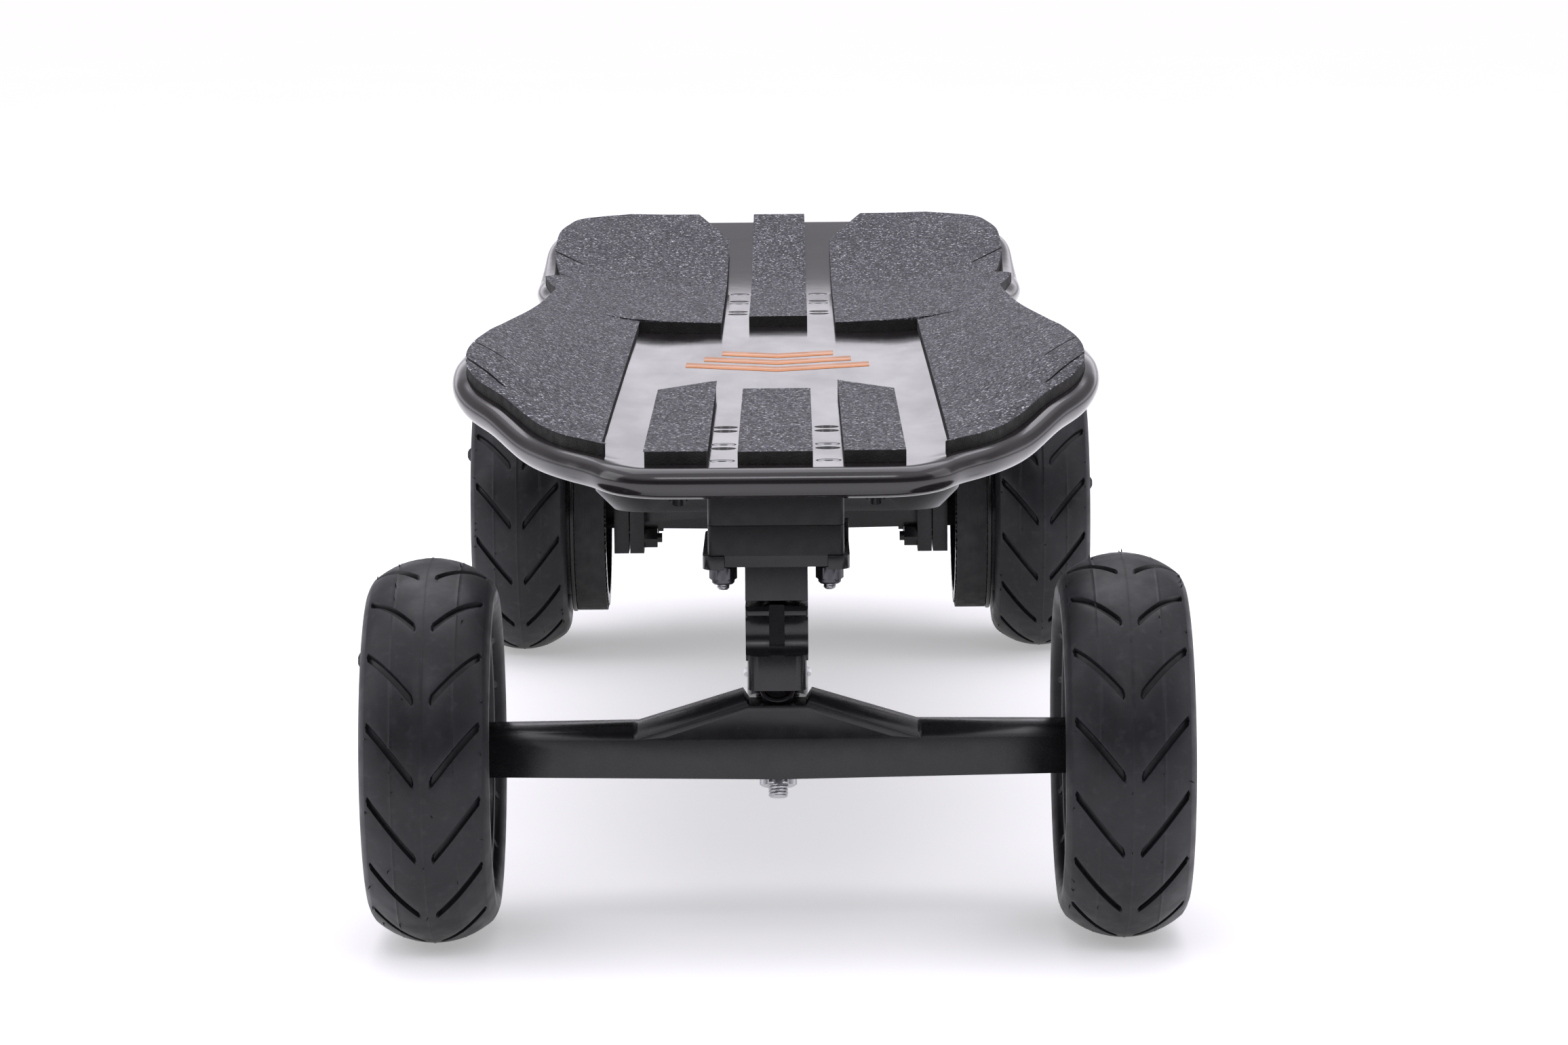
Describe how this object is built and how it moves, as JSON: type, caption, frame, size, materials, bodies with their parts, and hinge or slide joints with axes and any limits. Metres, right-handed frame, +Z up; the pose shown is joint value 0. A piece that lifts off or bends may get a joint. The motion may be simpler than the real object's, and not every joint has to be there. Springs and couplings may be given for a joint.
{
  "type": "electric skateboard",
  "caption": "All-terrain electric longboard with moulded concave deck, foam pads, double-kingpin trucks, air tyres and rear belt drives",
  "frame": {"origin": "centre of the bounding box at ground level, under the middle of the board", "axes": "X across the board (+X is the rider's left), Y from the nose to the tail (+Y is the tail), Z up"},
  "size_m": [0.3376, 1.032, 0.2179],
  "materials": {
    "deck_composite": "satin moulded composite skin, black-brown",
    "grip_foam": "matt foam with fine sparkling grit",
    "copper_inlay": "satin copper-orange inlay",
    "moulded_plastic": "fine-textured black moulding",
    "seal_rubber": "soft closed-cell foam gasket",
    "zinc_steel": "zinc-plated steel",
    "cell_wrap": "shrink-wrapped cell block",
    "controller_case": "anodised finned case",
    "button_plastic": "smooth button cap",
    "riser_plastic": "moulded riser pad",
    "black_aluminium": "black anodised machined aluminium",
    "urethane": "translucent-edged dark urethane",
    "tyre_rubber": "moulded tread rubber",
    "hub_plastic": "glass-filled nylon hub",
    "bearing_steel": "ground bearing steel",
    "valve_rubber": "moulded valve stem and ribbed cap",
    "motor_case": "satin black motor shell",
    "belt_rubber": "toothed neoprene belt with fabric face"
  },
  "bodies": {
    "board": {"deck": "deck_composite", "side_pad_left": "grip_foam", "side_pad_right": "grip_foam", "centre_pads": "grip_foam", "deck_emblem": "copper_inlay", "enclosure": "moulded_plastic", "enclosure_seal": "seal_rubber", "enclosure_screws": "zinc_steel", "battery_pack": "cell_wrap", "motor_controller": "controller_case", "charge_port": "moulded_plastic", "front_risers": "riser_plastic", "front_baseplate": "black_aluminium", "front_mount_bolts": "zinc_steel", "front_upper_kingpin": "zinc_steel", "front_upper_bushings": "urethane", "rear_risers": "riser_plastic", "rear_baseplate": "black_aluminium", "rear_mount_bolts": "zinc_steel", "rear_upper_kingpin": "zinc_steel", "rear_upper_bushings": "urethane"},
    "power_button_body": {"power_button": "button_plastic"},
    "front_swivel_arm": {"front_swivel": "black_aluminium", "front_lower_kingpin": "zinc_steel", "front_lower_bushings": "urethane"},
    "front_hanger_arm": {"front_hanger": "black_aluminium", "front_axle": "zinc_steel", "front_axle_nuts": "zinc_steel"},
    "rear_swivel_arm": {"rear_swivel": "black_aluminium", "rear_lower_kingpin": "zinc_steel", "rear_lower_bushings": "urethane"},
    "rear_hanger_arm": {"rear_hanger": "black_aluminium", "rear_axle": "zinc_steel", "rear_axle_nuts": "zinc_steel", "left_motor_mount": "black_aluminium", "left_motor": "motor_case", "left_belt": "belt_rubber", "right_motor_mount": "black_aluminium", "right_motor": "motor_case", "right_belt": "belt_rubber"},
    "front_left_wheel": {"front_left_tyre": "tyre_rubber", "front_left_hub": "hub_plastic", "front_left_bearings": "bearing_steel", "front_left_valve": "valve_rubber"},
    "front_right_wheel": {"front_right_tyre": "tyre_rubber", "front_right_hub": "hub_plastic", "front_right_bearings": "bearing_steel", "front_right_valve": "valve_rubber"},
    "rear_left_wheel": {"rear_left_tyre": "tyre_rubber", "rear_left_hub": "hub_plastic", "rear_left_bearings": "bearing_steel", "rear_left_valve": "valve_rubber", "left_wheel_pulley": "black_aluminium"},
    "rear_right_wheel": {"rear_right_tyre": "tyre_rubber", "rear_right_hub": "hub_plastic", "rear_right_bearings": "bearing_steel", "rear_right_valve": "valve_rubber", "right_wheel_pulley": "black_aluminium"},
    "left_motor_rotor": {"left_rotor": "bearing_steel"},
    "right_motor_rotor": {"right_rotor": "bearing_steel"}
  },
  "joints": [
    {"name": "front_swivel_steer", "type": "hinge", "parent": "board", "child": "front_swivel_arm", "pos_m": [0, -0.436, 0.141], "axis": [0, -0.8286, 0.5599], "range_deg": [-6, 6], "stiffness_Nm_per_rad": 60, "deforming": ["front_upper_bushings"]},
    {"name": "front_hanger_steer", "type": "hinge", "parent": "front_swivel_arm", "child": "front_hanger_arm", "pos_m": [0, -0.443, 0.1], "axis": [0, -0.6292, 0.7772], "range_deg": [-6, 6], "stiffness_Nm_per_rad": 60, "deforming": ["front_lower_bushings"]},
    {"name": "rear_swivel_steer", "type": "hinge", "parent": "board", "child": "rear_swivel_arm", "pos_m": [0, 0.295, 0.141], "axis": [0, 0.8286, 0.5599], "range_deg": [-6, 6], "stiffness_Nm_per_rad": 60, "deforming": ["rear_upper_bushings"]},
    {"name": "rear_hanger_steer", "type": "hinge", "parent": "rear_swivel_arm", "child": "rear_hanger_arm", "pos_m": [0, 0.302, 0.1], "axis": [0, 0.6292, 0.7772], "range_deg": [-6, 6], "stiffness_Nm_per_rad": 60, "deforming": ["rear_lower_bushings"]},
    {"name": "front_left_spin", "type": "hinge", "parent": "front_hanger_arm", "child": "front_left_wheel", "pos_m": [0.134, -0.441, 0.075], "axis": [1, 0, 0], "continuous": true},
    {"name": "front_right_spin", "type": "hinge", "parent": "front_hanger_arm", "child": "front_right_wheel", "pos_m": [-0.134, -0.441, 0.075], "axis": [1, 0, 0], "continuous": true},
    {"name": "rear_left_spin", "type": "hinge", "parent": "rear_hanger_arm", "child": "rear_left_wheel", "pos_m": [0.137, 0.3, 0.075], "axis": [1, 0, 0], "continuous": true},
    {"name": "rear_right_spin", "type": "hinge", "parent": "rear_hanger_arm", "child": "rear_right_wheel", "pos_m": [-0.137, 0.3, 0.075], "axis": [1, 0, 0], "continuous": true},
    {"name": "left_motor_spin", "type": "hinge", "parent": "rear_hanger_arm", "child": "left_motor_rotor", "pos_m": [0.1, 0.386, 0.088], "axis": [1, 0, 0], "continuous": true},
    {"name": "right_motor_spin", "type": "hinge", "parent": "rear_hanger_arm", "child": "right_motor_rotor", "pos_m": [-0.1, 0.386, 0.088], "axis": [1, 0, 0], "continuous": true},
    {"name": "power_button_press", "type": "slide", "parent": "board", "child": "power_button_body", "axis": [1, 0, 0], "range_m": [-0.0015, 0], "stiffness_N_per_m": 400}
  ],
  "couplings": [
    {"joint": "front_swivel_steer", "follows": "front_hanger_steer", "ratio": 1},
    {"joint": "rear_swivel_steer", "follows": "rear_hanger_steer", "ratio": 1},
    {"joint": "left_motor_spin", "follows": "rear_left_spin", "ratio": 4.25},
    {"joint": "right_motor_spin", "follows": "rear_right_spin", "ratio": 4.25}
  ]
}
